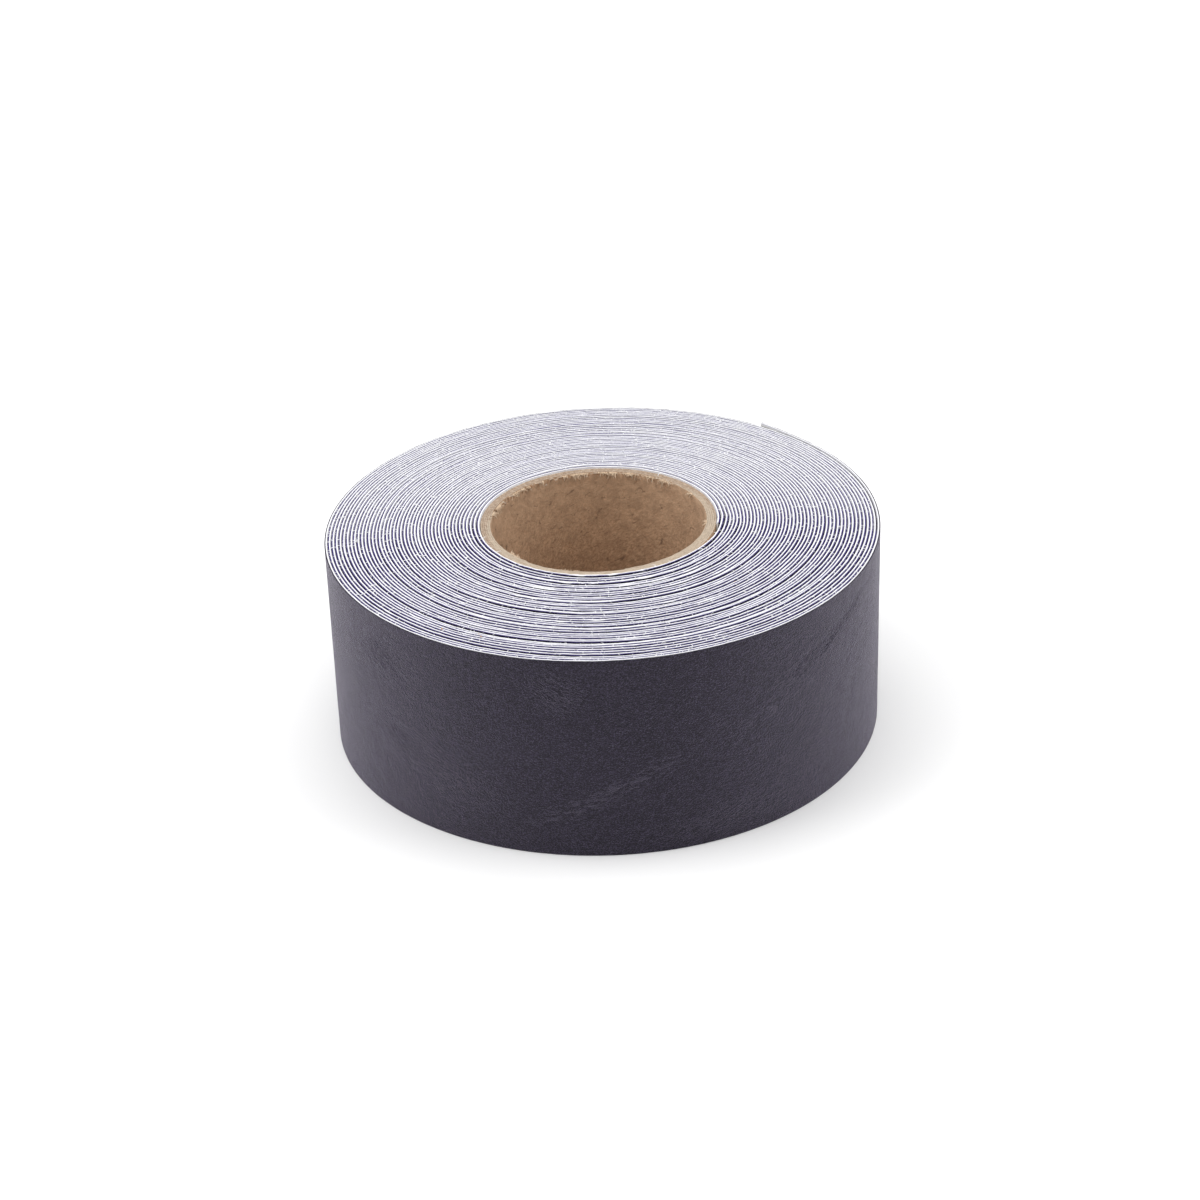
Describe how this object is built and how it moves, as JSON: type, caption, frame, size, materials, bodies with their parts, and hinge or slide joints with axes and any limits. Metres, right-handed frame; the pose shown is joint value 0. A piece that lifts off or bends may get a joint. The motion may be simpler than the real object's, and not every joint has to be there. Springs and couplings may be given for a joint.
{
  "type": "leather-look repair tape roll",
  "caption": "Roll of dark leather-look self-adhesive tape with a fabric backing and a release liner, wound on a paperboard core; its free tail lifts and the liner peels.",
  "frame": {"origin": "bottom centre of the roll, on the core's axis, in the plane of the flat end that it stands on", "axes": "+Z along the core's axis, +X to the right of the tape's loose end seen from the front, +Y to the back"},
  "size_m": [0.1304, 0.13, 0.05],
  "materials": {
    "core_board": "matte kraft paperboard",
    "starter_adhesive": "tacky film",
    "tape_laminate": "cut edges, matte",
    "leather_film": "fine-grained, satin",
    "fabric_backing": "matte, fuzzy edge",
    "adhesive": "tacky, satin",
    "release_liner": "smooth, satin"
  },
  "bodies": {
    "roll": {"core_inner_ply": "core_board", "core_second_ply": "core_board", "core_third_ply": "core_board", "core_fourth_ply": "core_board", "core_outer_ply": "core_board", "starter_strip": "starter_adhesive", "wound_tape": "tape_laminate", "outer_turn_liner": "release_liner", "outer_turn_adhesive": "adhesive", "outer_turn_fabric": "fabric_backing", "outer_turn_film": "leather_film"},
    "tail_1": {"tail_1_liner": "release_liner", "tail_1_adhesive": "adhesive", "tail_1_fabric": "fabric_backing", "tail_1_film": "leather_film"},
    "tail_2": {"tail_2_liner": "release_liner", "tail_2_adhesive": "adhesive", "tail_2_fabric": "fabric_backing", "tail_2_film": "leather_film"},
    "tail_3": {"tail_3_liner": "release_liner", "tail_3_adhesive": "adhesive", "tail_3_fabric": "fabric_backing", "tail_3_film": "leather_film"},
    "tail_4": {"tail_4_adhesive": "adhesive", "tail_4_fabric": "fabric_backing", "tail_4_film": "leather_film"},
    "liner_flap": {"tail_4_liner": "release_liner"}
  },
  "joints": [
    {"name": "tail_lift_1", "type": "hinge", "parent": "roll", "child": "tail_1", "pos_m": [0.06456, -0.01022, 0.025], "axis": [0, 0, -1], "range_deg": [0, 22], "stiffness_Nm_per_rad": 0.0005},
    {"name": "tail_lift_2", "type": "hinge", "parent": "tail_1", "child": "tail_2", "pos_m": [0.06504, 0.00684, 0.025], "axis": [0, 0, -1], "range_deg": [0, 22], "stiffness_Nm_per_rad": 0.0005},
    {"name": "tail_lift_3", "type": "hinge", "parent": "tail_2", "child": "tail_3", "pos_m": [0.06109, 0.02345, 0.025], "axis": [0, 0, -1], "range_deg": [0, 22], "stiffness_Nm_per_rad": 0.0005},
    {"name": "tail_lift_4", "type": "hinge", "parent": "tail_3", "child": "tail_4", "pos_m": [0.05296, 0.03848, 0.025], "axis": [0, 0, -1], "range_deg": [0, 22], "stiffness_Nm_per_rad": 0.0005},
    {"name": "liner_peel", "type": "hinge", "parent": "tail_3", "child": "liner_flap", "pos_m": [0.05235, 0.03803, 0.025], "axis": [0, 0, 1], "range_deg": [0, 33], "stiffness_Nm_per_rad": 0.0002}
  ],
  "couplings": [
    {"joint": "tail_lift_2", "follows": "tail_lift_1", "ratio": 1},
    {"joint": "tail_lift_3", "follows": "tail_lift_1", "ratio": 1},
    {"joint": "tail_lift_4", "follows": "tail_lift_1", "ratio": 1},
    {"joint": "liner_peel", "follows": "tail_lift_1", "ratio": 1.5}
  ]
}
